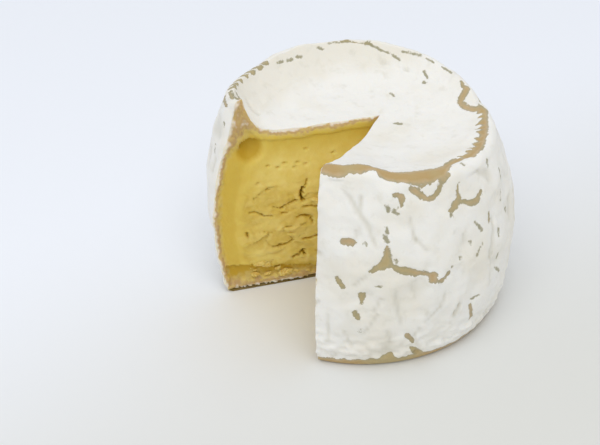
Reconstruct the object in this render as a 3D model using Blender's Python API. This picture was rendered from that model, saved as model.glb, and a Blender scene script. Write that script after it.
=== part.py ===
"""A small triple-cream cheese, a drum about 90 mm across, with one wedge cut out of it.

Units are metres, +Z is up and the cheese stands on z = 0. The cut opens towards -Y, and the
origin is the middle of the cheese's bounding box, at its base.

The cheese is one solid. It is built as a block that turns round the notch's inner edge: a grid
for one cut face, whose outline is spun the long way round to the other cut face. Every point of
that block is then moved to its place on the sagging, hand-moulded form.
"""

import math

import bmesh
import bpy
from mathutils import Matrix, Vector, noise

# Driving sizes of the drum
BASE_RADIUS = 0.0400
BELLY_RADIUS = 0.0450
BELLY_HEIGHT = 0.0210
RIM_RADIUS = 0.0378
RIM_HEIGHT = 0.0636
DISH_FLOOR = 0.0543

# Unevenness: (size of the swing, angle of its peak in degrees) once and twice round the drum
RIM_HEIGHT_SWING = ((0.0033, 235.0), (0.0012, 103.0))
RIM_RADIUS_SWING = ((0.0019, 283.0), (0.0003, 8.0))
BELLY_RADIUS_SWING = ((0.0020, 137.0), (0.0014, 171.5))
BASE_RADIUS_SWING = ((0.0004, 16.0), (0.0003, 60.0))

# Local swells and hollows of the rim: (angle, spread in degrees, rise, change of the rim's radius)
RIM_SWELLS = (
    (198.0, 20.0, -0.0019, 0.0),
    (239.0, 8.0, 0.0011, 0.0),
    (66.0, 24.0, -0.0013, -0.0013),
)

# The wall is drawn in beside each cut: (angle, spread in degrees, height, spread of height, depth)
PINCHES = (
    (239.0, 7.0, 0.060, 0.022, 0.0058),
    (291.0, 11.0, 0.043, 0.015, 0.0023),
)

# The rounded edge between the wall and the dished top
RIM_ROUNDING = 0.0034
CREST_SHARE = 0.925

# How late the dish climbs to its rim: (angle in degrees, power of the climb)
DISH_CLIMBS = (
    (20.0, 3.0), (75.0, 4.0), (130.0, 5.0), (180.0, 6.5), (237.0, 10.0), (299.0, 2.0), (335.0, 2.2),
)

# The notch left by the wedge
NOTCH_EDGE = Vector((-0.0027, 0.0095))
NOTCH_OPENS = math.radians(270.0)
NOTCH_HALF_ANGLE = math.radians(26.0)

# Where the drum's own axis stands, so that the bounding box is centred on the origin
DRUM_AXIS = Vector((0.00185, -0.00385))

# Layers that show at the cut: the rind, then the soft ripened zone, then the chalky core
RIND_THICKNESS = 0.0016
RIPE_AT_WALL = 0.0075
RIPE_AT_TOP = 0.0031
RIPE_AT_BASE = 0.0030
RIPE_CLIMB = 0.14
RIPE_SUNK = 0.0010
RIPE_HANGS = 0.0006
CORE_CRAG = 0.0007
CRACK_DEPTH = 0.0013
POCKET_DEPTH = 0.0022
POCKET_RADIUS = 0.0062
OOZE_PROUD = 0.0016
OOZE_RADIUS = 0.0060

# Lumps of the hand-salted, drained rind
LUMP_HEIGHT = 0.0005
LUMP_SPACING = 0.0110

# Facets
STEPS_ALONG = 24
STEPS_UP = 28
STEPS_ROUND = 62
CROWDING = 1.35
MERGE_DISTANCE = 1e-6

# Material slots
RIND = 0
PASTE = 1
RIND_COLOUR = (0.86, 0.84, 0.79, 1.0)
PASTE_COLOUR = (0.87, 0.76, 0.42, 1.0)

SWEEP = 2.0 * (math.pi - NOTCH_HALF_ANGLE)


def clear_scene():
    """Removes whatever objects the scene holds."""
    for obj in list(bpy.data.objects):
        bpy.data.objects.remove(obj, do_unlink=True)


def smooth_step(low, high, value):
    """Rises from 0 at low to 1 at high, with level ends."""
    share = min(max((value - low) / (high - low), 0.0), 1.0)
    return share * share * (3.0 - 2.0 * share)


def swung(mean, swing, angle):
    """A size that swings once and twice round the drum about its mean."""
    (once, once_at), (twice, twice_at) = swing
    return (mean + once * math.cos(angle - math.radians(once_at))
            + twice * math.cos(2.0 * (angle - math.radians(twice_at))))


def bell(angle, middle, spread):
    """A bell of height 1 round the drum's axis, with its middle and spread as angles."""
    apart = (angle - middle + math.pi) % (2.0 * math.pi) - math.pi
    return math.exp(-(apart / spread) ** 2)


def rim_swell(angle, column):
    """Sum at an angle of one column of the rim's local swells."""
    return sum(row[column] * bell(angle, math.radians(row[0]), math.radians(row[1])) for row in RIM_SWELLS)


def rim_height(angle):
    return swung(RIM_HEIGHT, RIM_HEIGHT_SWING, angle) + rim_swell(angle, 2)


def pinch(height, angle):
    """How far the wall is drawn in at a place on it."""
    drawn = 0.0
    for middle, spread, level, band, depth in PINCHES:
        round_drum = bell(angle, math.radians(middle), math.radians(spread))
        drawn += depth * round_drum * math.exp(-((height - level) / band) ** 2)
    return drawn


def wall_radius(height, angle):
    """Radius of the wall: a parabola through the base, the belly and the rim, drawn in beside the cuts."""
    top = rim_height(angle)
    base = swung(BASE_RADIUS, BASE_RADIUS_SWING, angle)
    belly = swung(BELLY_RADIUS, BELLY_RADIUS_SWING, angle)
    rim = swung(RIM_RADIUS, RIM_RADIUS_SWING, angle) + rim_swell(angle, 3)
    through = ((0.0, base), (BELLY_HEIGHT, belly), (top, rim))
    radius = 0.0
    for level, size in through:
        term = size
        for other, _ in through:
            if other != level:
                term *= (height - other) / (level - other)
        radius += term
    return radius - pinch(height, angle)


def dish_climb(angle):
    """The power of the dish's climb at an angle, eased between the listed ones."""
    degrees = math.degrees(angle) % 360.0
    listed = [(DISH_CLIMBS[-1][0] - 360.0, DISH_CLIMBS[-1][1]), *DISH_CLIMBS,
              (DISH_CLIMBS[0][0] + 360.0, DISH_CLIMBS[0][1])]
    for (start, low), (end, high) in zip(listed, listed[1:]):
        if start <= degrees <= end:
            return low + (high - low) * smooth_step(start, end, degrees)
    return DISH_CLIMBS[0][1]


def top_height(radius, angle):
    """Height of the dished top: a floor, a climb to the crest and a rounded shoulder."""
    crest = rim_height(angle)
    edge = wall_radius(crest - RIM_ROUNDING, angle)
    share = radius / edge
    if share < CREST_SHARE:
        climb = (share / CREST_SHARE) ** dish_climb(angle)
        return DISH_FLOOR + (crest - DISH_FLOOR) * climb
    over = min((share - CREST_SHARE) / (1.0 - CREST_SHARE), 1.0)
    return crest - RIM_ROUNDING * (1.0 - math.sqrt(1.0 - over * over))


def reach(direction, height):
    """Distance from the notch's inner edge to the wall, along a direction, at a height."""
    along = Vector((math.cos(direction), math.sin(direction)))
    distance = BELLY_RADIUS
    for _ in range(12):
        point = NOTCH_EDGE + along * distance
        distance += wall_radius(height, math.atan2(point.y, point.x)) - point.length
    return distance


def block_point(along, up, direction):
    """Place on or in the drum of a point of the block, before its lumps and crags."""
    heading = Vector((math.cos(direction), math.sin(direction)))
    outer = NOTCH_EDGE + heading * reach(direction, RIM_HEIGHT)
    edge_height = rim_height(math.atan2(outer.y, outer.x)) - RIM_ROUNDING
    wall = reach(direction, up * edge_height)
    rim = reach(direction, edge_height)
    at_top = NOTCH_EDGE + heading * (along * rim)
    roof = top_height(at_top.length, math.atan2(at_top.y, at_top.x))
    flat = NOTCH_EDGE + heading * (along * wall)
    return Vector((flat.x, flat.y, up * roof))


def lump(point):
    """Outward swell of the rind at a point, which dies away at the flat base."""
    swell = noise.fractal(point / LUMP_SPACING, 0.8, 2.1, 3)
    return LUMP_HEIGHT * swell * smooth_step(0.0, 0.006, point.z)


def crack(distance, height, face):
    """Depth of the chalky core's cracks: long, level fissures where a stretched noise crosses zero."""
    bend = 0.0025 * noise.noise(Vector((distance * 90.0, height * 60.0, 3.0 + face)))
    across = Vector((distance * 70.0, (height + bend) * 210.0, 7.0 * face))
    ridge = 1.0 - min(abs(noise.noise(across)) * 6.0, 1.0)
    spot = Vector((distance * 45.0, height * 55.0, 11.0 + face))
    patch = smooth_step(-0.15, 0.25, noise.noise(spot))
    return CRACK_DEPTH * ridge * ridge * patch


def cut_relief(distance, height, roof, wall, face):
    """How far the cut face stands out of its plane, into the notch.

    distance is measured from the notch's inner edge, roof is the top's height there and wall the
    distance at which the wall is met at this height.
    """
    from_wall, from_top, from_base = wall - distance, roof - height, height
    at_wall = (from_wall - RIND_THICKNESS) / RIPE_AT_WALL
    at_top = from_top / RIPE_AT_TOP
    at_base = (from_base - 0.5 * RIND_THICKNESS) / (RIPE_AT_BASE + RIPE_CLIMB * distance)
    core = smooth_step(0.75, 1.35, min(at_wall, at_top, at_base))
    rind = 1.0 - smooth_step(-0.1, 0.25, min(at_wall, at_top - 0.1, at_base))
    hangs = 1.0 - smooth_step(0.8, 1.2, at_top)
    curds = Vector((distance * 160.0, height * 230.0, 5.0 * face))
    crag = CORE_CRAG * (0.6 + noise.fractal(curds, 0.9, 2.0, 3))
    relief = core * (crag - crack(distance, height, face)) + hangs * RIPE_HANGS
    relief -= (1.0 - core) * (1.0 - hangs) * RIPE_SUNK
    pocket = math.hypot(from_wall - 0.0096, (from_top - 0.0068) * 1.4) / POCKET_RADIUS
    relief -= POCKET_DEPTH * (1.0 - smooth_step(0.2, 1.0, pocket))
    ooze = math.hypot(from_wall - 0.0075, from_base - 0.0065) / OOZE_RADIUS
    relief += OOZE_PROUD * (1.0 - smooth_step(0.1, 1.0, ooze))
    return relief * smooth_step(0.0, 0.004, distance) * (1.0 - rind)


def make_block():
    """The block: a cut face as a grid, its outline spun round, and the other cut face."""
    block = bmesh.new()
    made = bmesh.ops.create_grid(block, x_segments=STEPS_ALONG, y_segments=STEPS_UP, size=0.5)
    stand_up = Matrix.Translation((0.5, 0.0, 0.5)) @ Matrix.Rotation(math.radians(90.0), 4, "X")
    bmesh.ops.transform(block, matrix=stand_up, verts=made["verts"])
    first_face = list(block.faces)
    outline = [e for e in block.edges if e.is_boundary and max(v.co.x for v in e.verts) > 0.5 / STEPS_ALONG]
    other = bmesh.ops.duplicate(block, geom=first_face)["geom"]
    cut_faces = {*first_face, *(g for g in other if isinstance(g, bmesh.types.BMFace))}
    turn = Matrix.Rotation(SWEEP, 4, "Z")
    bmesh.ops.transform(block, matrix=turn, verts=[g for g in other if isinstance(g, bmesh.types.BMVert)])
    bmesh.ops.spin(block, geom=outline, cent=(0.0, 0.0, 0.0), axis=(0.0, 0.0, 1.0), angle=SWEEP,
                   steps=STEPS_ROUND, use_duplicate=False)
    for face in block.faces:
        face.material_index = PASTE if face in cut_faces else RIND
    bmesh.ops.remove_doubles(block, verts=block.verts, dist=MERGE_DISTANCE)
    return block


def shape(block):
    """Moves every point of the block to its place on the cheese."""
    last = 1.0 - 0.5 / STEPS_ROUND
    for vert in block.verts:
        along = math.hypot(vert.co.x, vert.co.y)
        up = min(max(vert.co.z, 0.0), 1.0)
        turned = math.atan2(vert.co.y, vert.co.x) % (2.0 * math.pi)
        if turned > SWEEP + 1e-4:
            turned = 0.0
        direction = NOTCH_OPENS + NOTCH_HALF_ANGLE + turned
        along = 1.0 - (1.0 - min(along, 1.0)) ** CROWDING
        place = block_point(along, up, direction)
        on_first, on_last = turned < 1e-4, turned > SWEEP * last
        outside = along > 1.0 - 1e-6 or up > 1.0 - 1e-6
        if outside:
            on_wall = along > 1.0 - 1e-6
            outward = Vector((place.x, place.y, 0.0)).normalized() if on_wall else Vector((0, 0, 1))
            place += outward * lump(place)
        if (on_first or on_last) and 1e-6 < along:
            distance = (place.xy - NOTCH_EDGE).length
            roof = block_point(along, 1.0, direction).z
            wall = (block_point(1.0, up, direction).xy - NOTCH_EDGE).length
            side = -1.0 if on_first else 1.0
            into_notch = side * Vector((-math.sin(direction), math.cos(direction), 0.0))
            place += into_notch * cut_relief(distance, place.z, roof, wall, 1.0 + side)
        vert.co = place


def flatten_base(block):
    """Makes the base one flat face."""
    under = [f for f in block.faces if all(abs(v.co.z) < 1e-7 for v in f.verts)]
    bmesh.ops.dissolve_faces(block, faces=under, use_verts=False)


def plain_material(name, colour, roughness):
    """A Principled material of one colour."""
    material = bpy.data.materials.new(name)
    material.use_nodes = True
    shader = material.node_tree.nodes["Principled BSDF"]
    shader.inputs["Base Color"].default_value = colour
    shader.inputs["Roughness"].default_value = roughness
    shader.inputs["Metallic"].default_value = 0.0
    return material


def make_cheese(collection):
    """The whole cheese as one solid, rind white and cut faces pale yellow."""
    block = make_block()
    shape(block)
    flatten_base(block)
    bmesh.ops.recalc_face_normals(block, faces=block.faces)
    for face in block.faces:
        face.smooth = True
    bmesh.ops.translate(block, verts=block.verts, vec=(DRUM_AXIS.x, DRUM_AXIS.y, 0.0))
    mesh = bpy.data.meshes.new("triple_cream_cheese")
    block.to_mesh(mesh)
    block.free()
    mesh.materials.append(plain_material("bloomy_rind", RIND_COLOUR, 0.85))
    mesh.materials.append(plain_material("ripe_paste", PASTE_COLOUR, 0.6))
    mesh.set_sharp_from_angle(angle=math.radians(50.0))
    cheese = bpy.data.objects.new("triple_cream_cheese", mesh)
    collection.objects.link(cheese)
    return cheese


def main():
    clear_scene()
    collection = bpy.data.collections.new("triple_cream_cheese")
    bpy.context.scene.collection.children.link(collection)
    make_cheese(collection)


main()
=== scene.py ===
"""A small triple-cream cheese, a drum about 90 mm across with one wedge cut out, as it looks.

Units are metres, +Z is up and the cheese stands on z = 0, with its notch open towards -Y. Angles
go round the drum's own axis, counter-clockwise from +X, and are in degrees where they are listed.
"""

import enum
import logging
import math
import random
from collections.abc import Callable
from dataclasses import dataclass

import bmesh
import bpy
import numpy as np
from mathutils import Matrix, Vector, noise


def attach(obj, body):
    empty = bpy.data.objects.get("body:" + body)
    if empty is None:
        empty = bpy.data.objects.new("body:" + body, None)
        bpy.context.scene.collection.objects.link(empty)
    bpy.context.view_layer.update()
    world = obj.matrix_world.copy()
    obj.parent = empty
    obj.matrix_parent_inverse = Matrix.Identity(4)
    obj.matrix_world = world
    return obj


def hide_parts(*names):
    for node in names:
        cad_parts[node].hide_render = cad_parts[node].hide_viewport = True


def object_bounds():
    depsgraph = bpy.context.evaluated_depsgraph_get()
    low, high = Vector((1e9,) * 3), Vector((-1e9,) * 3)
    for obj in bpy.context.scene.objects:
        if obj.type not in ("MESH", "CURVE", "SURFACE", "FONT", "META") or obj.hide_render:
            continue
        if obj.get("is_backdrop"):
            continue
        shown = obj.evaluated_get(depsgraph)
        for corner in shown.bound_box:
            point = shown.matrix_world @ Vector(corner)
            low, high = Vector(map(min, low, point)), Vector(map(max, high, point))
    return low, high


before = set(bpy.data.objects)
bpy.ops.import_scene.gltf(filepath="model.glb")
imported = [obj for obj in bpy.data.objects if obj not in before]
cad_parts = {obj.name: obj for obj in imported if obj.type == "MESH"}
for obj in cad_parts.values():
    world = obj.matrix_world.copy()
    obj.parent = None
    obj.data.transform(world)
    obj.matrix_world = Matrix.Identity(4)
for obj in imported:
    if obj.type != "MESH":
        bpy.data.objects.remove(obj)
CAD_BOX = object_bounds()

LOG = logging.getLogger("cheese")
MM = 0.001
NEAR = 1e-6
OUTSIDE = -9.0  # A field of millimetres inside something, where nothing of it is near
Array = np.ndarray

# Settings that many nodes share: a colour mix (in at 6 and 7, out at 2), sums and a soft threshold
MIX = {"data_type": "RGBA"}
SUM = {"operation": "ADD"}
SCALED_SUM = {"operation": "MULTIPLY_ADD"}
PRODUCT = {"operation": "MULTIPLY"}
SOFT = {"interpolation_type": "SMOOTHSTEP"}


def linear(colour: str) -> tuple[float, float, float, float]:
    """Turns an sRGB hex colour into the linear one that a shader takes.

    Args:
        colour: The colour as #RRGGBB.

    Returns:
        Linear red, green and blue, and an alpha of 1.
    """
    levels = [int(colour[at:at + 2], 16) / 255.0 for at in (1, 3, 5)]
    red, green, blue = (c / 12.92 if c <= 0.04045 else ((c + 0.055) / 1.055) ** 2.4 for c in levels)
    return red, green, blue, 1.0


def smooth_step(low: float | Array, high: float | Array, value: float | Array) -> Array:
    """Rises from 0 at low to 1 at high, with level ends."""
    share = np.clip((value - low) / (high - low), 0.0, 1.0)
    return share * share * (3.0 - 2.0 * share)


def sampled(pattern: Callable[[list[float]], float], points: Array) -> Array:
    """Reads a noise pattern at many points.

    Args:
        pattern: The noise, as a function of one point.
        points: The points, one a row.

    Returns:
        The pattern's value at each point.
    """
    return np.fromiter((pattern(point) for point in points.tolist()), float, len(points))


def rough(points: Array) -> Array:
    """Plain gradient noise, from about -1 to 1, at many points."""
    return sampled(noise.noise, points)


def add_node(
    tree: bpy.types.NodeTree,
    kind: str,
    settings: dict[str | int, object] | None = None,
    links: dict[str | int, bpy.types.NodeSocket] | None = None,
    output: str | int = 0,
) -> bpy.types.NodeSocket:
    """Adds a node to a tree, sets it and links it.

    Args:
        tree: The material's node tree.
        kind: The node's type name, without its ShaderNode.
        settings: Properties of the node, or else inputs by name or number, with their values.
        links: Inputs by name or number, with the output that feeds each.
        output: The output that is wanted, by name or number.

    Returns:
        That output of the new node.
    """
    node = tree.nodes.new(f"ShaderNode{kind}")
    for name, value in (settings or {}).items():
        if isinstance(name, str) and hasattr(node, name):
            setattr(node, name, value)
        else:
            node.inputs[name].default_value = value
    for name, source in (links or {}).items():
        tree.links.new(source, node.inputs[name])
    return node.outputs[output]


def start_material(name: str, *fields: str) -> tuple[bpy.types.Material, bpy.types.NodeSocket, dict]:
    """Starts a material.

    Args:
        name: The material's name.
        fields: The attributes that it reads from its piece.

    Returns:
        The material, its object coordinates, and its fields by name.
    """
    material = bpy.data.materials.new(name)
    material.use_nodes = True
    tree = material.node_tree
    place = add_node(tree, "TexCoord", output="Object")
    return material, place, {
        field: add_node(tree, "Attribute", {"attribute_name": field}, output="Fac") for field in fields
    }


def finish_material(
    material: bpy.types.Material, values: dict[str, object], **sources: bpy.types.NodeSocket
) -> None:
    """Feeds and sets a material's shader.

    Args:
        material: The material.
        values: Values for the shader's own sockets, by name.
        sources: The outputs that feed its base_color and its normal.
    """
    shader = material.node_tree.nodes["Principled BSDF"]
    for name, value in values.items():
        shader.inputs[name].default_value = value
    for name, source in sources.items():
        material.node_tree.links.new(source, shader.inputs[name.replace("_", " ").title()])


def show(mesh: bpy.types.Mesh, *materials: bpy.types.Material) -> bpy.types.Object:
    """Puts a mesh into the scene.

    Args:
        mesh: The mesh, whose name the object takes.
        materials: Its materials, in the order of its slots.

    Returns:
        The new object.
    """
    for material in materials:
        mesh.materials.append(material)
    shown = bpy.data.objects.new(mesh.name, mesh)
    bpy.context.scene.collection.objects.link(shown)
    return shown


def mesh_of(name: str, made: bmesh.types.BMesh) -> bpy.types.Mesh:
    """Turns a bmesh into a mesh and frees it.

    Args:
        name: The mesh's name.
        made: The bmesh.

    Returns:
        The mesh.
    """
    mesh = bpy.data.meshes.new(name)
    made.to_mesh(mesh)
    made.free()
    return mesh


class Surface(enum.Enum):
    """Where on the rind a mark lies, and so what the second number of its points means."""

    WALL = "height above the base"
    RIM = "distance outwards from the crest of the rim, negative on the dish's side"
    TOP = "distance from the drum's axis"


class Tint(enum.Enum):
    """What shows in a mark: bare washed rind, a greyer spot of thin mould, or a fold in the mould, grey as
    painted shade.
    """

    TAN = "washed rind"
    OLIVE = "thin mould"
    CREASE = "fold in the mould"


@dataclass(frozen=True)
class Mark:
    """A stroke or spot on the rind, through points of (angle, millimetres, its half-width there)."""

    surface: Surface
    tint: Tint
    path: tuple[tuple[float, float, float], ...]


def marks_of(surface: Surface, tint: Tint, *paths: tuple) -> list[Mark]:
    """Marks of one kind, one along each path."""
    return [Mark(surface, tint, path) for path in paths]


# Marks on the wall: patches of washed rind, small spots of thin mould, and creases painted grey as shade
WALL_MARKS = [
    *marks_of(
        Surface.WALL, Tint.TAN,
        ((351.5, 60.6, 0.8), (347.7, 59.3, 0.75), (345.1, 57.0, 0.8), (343.1, 55.8, 0.85),
         (340.8, 56.0, 0.7)),
        ((339.6, 56.5, 0.8), (337.6, 57.6, 0.9), (335.7, 59.0, 1.0), (334.0, 59.5, 0.6)),
        ((338.3, 59.7, 0.5), (340.5, 60.4, 0.6)),
        ((327.2, 59.6, 0.45), (330.2, 58.5, 0.95), (329.7, 56.0, 0.45)),
        ((356.0, 57.0, 0.35), (354.5, 55.4, 0.45), (354.9, 53.0, 0.8), (352.4, 51.7, 1.15),
         (349.5, 50.4, 0.5)),
        ((355.6, 52.0, 0.4), (359.8, 50.2, 0.75), (363.7, 49.9, 0.95), (367.7, 51.2, 0.4)),
        ((10.7, 43.4, 0.45), (9.9, 40.9, 0.5)), ((324.8, 44.2, 0.5), (324.4, 41.4, 1.0)),
        ((324.6, 41.0, 1.1), (324.0, 39.0, 1.7), (321.4, 37.6, 1.0), (318.6, 36.6, 0.35)),
        ((326.2, 38.0, 0.5), (328.4, 37.2, 0.85), (331.2, 36.4, 1.1), (335.0, 34.9, 1.0),
         (338.6, 34.0, 0.65)),
        ((340.4, 33.6, 0.9), (341.5, 32.9, 1.35), (341.3, 31.8, 1.2)),
        ((344.0, 30.9, 0.6), (346.2, 30.9, 0.45), (347.8, 32.1, 0.5)),
        ((308.9, 45.3, 0.95), (310.4, 45.7, 1.0), (311.8, 45.3, 1.1)),
        ((306.7, 33.1, 0.6), (308.6, 30.7, 0.8)), ((315.9, 28.4, 1.05), (316.0, 25.6, 0.5)),
        ((313.5, 22.4, 0.55), (314.7, 20.2, 0.55)), ((333.5, 12.4, 0.75), (336.5, 8.8, 0.4)),
        ((336.6, 6.0, 0.9), (340.8, 2.4, 1.4)), ((0.5, 16.2, 0.6), (2.6, 9.9, 0.6)),
    ),
    *marks_of(
        Surface.WALL, Tint.OLIVE,
        ((324.1, 56.4, 0.4), (325.2, 54.3, 0.45)),
        ((328.2, 55.6, 0.3), (326.7, 54.3, 0.4), (328.9, 53.5, 0.35)),
        ((350.1, 49.6, 0.45), (350.3, 49.1, 0.4)), ((16.0, 57.6, 0.45), (16.3, 55.6, 0.4)),
        ((23.8, 52.0, 0.3), (23.3, 48.5, 0.35)), ((22.3, 45.8, 0.25), (20.1, 43.6, 0.3)),
        ((25.1, 38.4, 0.5), (25.1, 37.6, 0.4)), ((15.5, 36.5, 0.45), (15.3, 34.3, 0.35)),
        ((1.2, 44.1, 0.35), (4.6, 40.4, 0.45)), ((358.0, 39.0, 0.4), (358.0, 38.0, 0.4)),
        ((4.2, 36.4, 0.25), (0.6, 33.9, 0.4)), ((353.3, 35.6, 0.4), (353.3, 35.1, 0.35)),
        ((349.4, 33.9, 0.35), (349.5, 33.4, 0.3)), ((14.9, 28.4, 0.25), (14.9, 26.6, 0.3)),
        ((13.4, 24.2, 0.25), (19.0, 19.8, 0.35)), ((324.4, 49.7, 0.45), (324.4, 48.3, 0.4)),
        ((323.5, 47.4, 0.45), (324.6, 45.8, 0.55)), ((327.7, 39.8, 0.5), (327.7, 39.2, 0.4)),
        ((316.6, 45.3, 0.45), (316.6, 44.7, 0.4)), ((320.8, 31.3, 0.25), (323.0, 31.3, 0.25)),
        ((315.5, 15.7, 0.35), (315.2, 14.6, 0.3)), ((4.4, 18.6, 0.3), (0.5, 18.1, 0.25)),
        ((9.2, 4.0, 0.35), (9.0, 3.2, 0.3)), ((231.0, 58.5, 0.35), (230.6, 57.0, 0.3)),
        ((228.6, 50.0, 0.3), (228.4, 47.5, 0.35)),
    ),
    # Creases: sunk into the felt, and painted grey as shade
    *marks_of(
        Surface.WALL, Tint.CREASE,
        ((307.6, 60.6, 0.15), (310.5, 58.6, 0.5), (313.5, 55.0, 0.6), (317.5, 50.6, 0.6),
         (320.5, 44.0, 0.15)),
        ((328.6, 31.0, 0.2), (327.9, 27.6, 0.6), (329.2, 22.1, 0.65), (331.0, 16.6, 0.2)),
        ((347.4, 26.0, 0.2), (346.0, 20.5, 0.55), (340.0, 16.5, 0.25)),
        ((322.8, 26.7, 0.35), (320.4, 22.5, 0.45)), ((321.6, 21.0, 0.4), (316.3, 13.5, 0.25)),
        ((354.0, 19.0, 0.3), (352.0, 12.0, 0.2)), ((304.0, 22.0, 0.2), (303.0, 10.0, 0.4)),
        ((333.0, 52.0, 0.15), (334.5, 46.0, 0.45), (339.0, 41.5, 0.15)),
        ((318.0, 36.0, 0.15), (313.0, 31.5, 0.35)),
        ((338.0, 15.0, 0.2), (336.0, 11.0, 0.4), (338.5, 7.0, 0.2)),
        ((8.0, 33.0, 0.15), (10.5, 27.0, 0.4), (9.0, 20.0, 0.15)),
        ((309.5, 14.5, 0.2), (312.0, 8.5, 0.35)),
    ),
]

# Marks along the rim and on the top, beside the band that runs round the rim's front and right
RIM_MARKS = [
    *marks_of(
        Surface.RIM, Tint.TAN,
        ((53.0, 0.6, 1.1), (55.0, -0.4, 1.1), (57.2, -2.0, 1.0), (62.0, -3.1, 0.95), (67.5, -3.5, 0.9)),
        ((68.0, -3.2, 1.0), (70.5, -1.8, 1.05), (72.7, 0.2, 1.0), (75.5, -0.3, 0.5), (78.0, 0.2, 0.25)),
        ((150.0, 0.3, 0.2), (141.0, -0.2, 0.3), (132.0, -0.5, 0.25)),
        ((219.4, 1.7, 0.65), (218.0, 0.0, 0.75)), ((215.4, 1.9, 0.65), (213.8, 0.1, 0.7)),
        ((210.4, 1.9, 0.7), (208.2, -0.1, 0.75)), ((204.6, 2.0, 0.7), (202.2, -0.1, 0.8)),
        ((199.4, 1.7, 0.75), (196.8, -0.2, 0.8)), ((193.8, 1.6, 0.75), (191.0, -0.3, 0.7)),
        ((188.4, 1.0, 0.65), (186.4, -0.2, 0.65)),
        ((230.6, 1.6, 0.45), (226.6, 0.9, 0.4), (223.2, 1.4, 0.4)),
        ((233.6, -0.6, 1.3), (231.4, -3.0, 1.2), (230.2, -5.0, 0.7)),
    ),
    *marks_of(
        Surface.RIM, Tint.OLIVE,
        ((232.0, 0.9, 0.35), (229.0, 0.0, 0.4), (225.0, 0.2, 0.35), (222.6, 1.2, 0.3)),
        ((221.0, -0.4, 0.35), (219.6, -1.6, 0.35)), ((1.6, 0.5, 0.4), (1.9, 1.2, 0.4)),
        ((181.0, -1.0, 0.25), (178.0, -1.2, 0.35)), ((175.5, -1.5, 0.35), (172.8, -1.6, 0.35)),
        ((170.3, -1.5, 0.35), (168.0, -1.8, 0.35)), ((158.5, -0.6, 0.25), (156.2, -0.9, 0.3)),
        ((153.0, -0.2, 0.15), (146.0, -0.1, 0.15)),
        ((133.0, -0.6, 0.12), (128.0, -1.1, 0.2), (122.0, -1.4, 0.2)),
        ((120.5, -1.6, 0.25), (116.6, -2.1, 0.35)), ((116.0, -0.6, 0.16), (105.5, -0.2, 0.16)),
        ((103.0, -0.4, 0.12), (98.0, -0.3, 0.12)), ((92.5, 0.1, 0.25), (86.5, 0.1, 0.25)),
    ),
    *marks_of(
        Surface.TOP, Tint.OLIVE,
        ((70.9, 10.1, 0.5), (65.5, 11.4, 0.6)), ((113.0, 20.9, 0.3), (109.0, 20.4, 0.3)),
        ((97.2, 28.4, 0.4), (95.4, 28.4, 0.35)), ((96.4, 30.0, 0.2), (100.6, 31.3, 0.3)),
    ),
]

# The band of washed rind along the rim: (angle, its inner and its outer edge, in mm from the crest)
RIM_BAND = (
    (57.0, 0.4, -0.4), (180.0, 0.4, -0.4), (228.0, 0.4, -0.4), (233.5, -1.5, 1.5), (250.0, -1.5, 2.5),
    (290.0, -1.2, 2.7), (299.0, -1.2, 2.8), (304.0, -1.2, 3.2), (308.0, -1.2, 3.3), (310.0, -1.2, 2.5),
    (313.5, -1.2, 3.0), (317.0, -1.2, 1.9), (320.0, -1.0, 1.1), (322.0, -1.2, 2.3), (325.0, -1.5, 3.0),
    (331.0, -1.9, 3.2), (336.0, -2.4, 3.4), (343.0, -2.2, 3.5), (349.0, -2.4, 3.0), (353.0, -3.4, 1.0),
    (358.0, -4.4, -1.2), (367.0, -4.2, -1.6), (370.0, -4.0, 0.7), (376.0, -4.0, 0.8), (383.0, -3.7, 0.3),
    (393.0, -3.4, 0.1), (404.0, -2.9, 0.3), (412.0, -2.0, 1.3), (415.5, -1.0, 1.0), (417.0, 0.4, -0.4),
)

# The band of washed rind round the foot: (angle, its height in mm)
FOOT_BAND = (
    (299.0, 2.3), (310.0, 2.7), (322.0, 3.1), (325.5, 4.3), (328.5, 5.2), (331.0, 2.5), (337.0, 2.7),
    (341.0, 3.2), (346.0, 2.5), (354.0, 1.8), (365.0, 2.0), (380.0, 1.5), (420.0, 2.2), (470.0, 1.4),
    (520.0, 2.3), (560.0, 1.7), (590.0, 2.1), (659.0, 2.3),
)


def read_round(table: tuple[tuple[float, ...], ...], column: int, degrees: Array) -> Array:
    """Reads a table that goes round the drum.

    Args:
        table: Rows that start with an angle, which climbs by up to a full turn.
        column: Which number of each row to read.
        degrees: The angles to read it at.

    Returns:
        The column's value at each angle, straight between rows.
    """
    first = table[0][0]
    angles, values = [row[0] for row in table], [row[column] for row in table]
    return np.interp((degrees - first) % 360.0 + first, angles, values)


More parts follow.
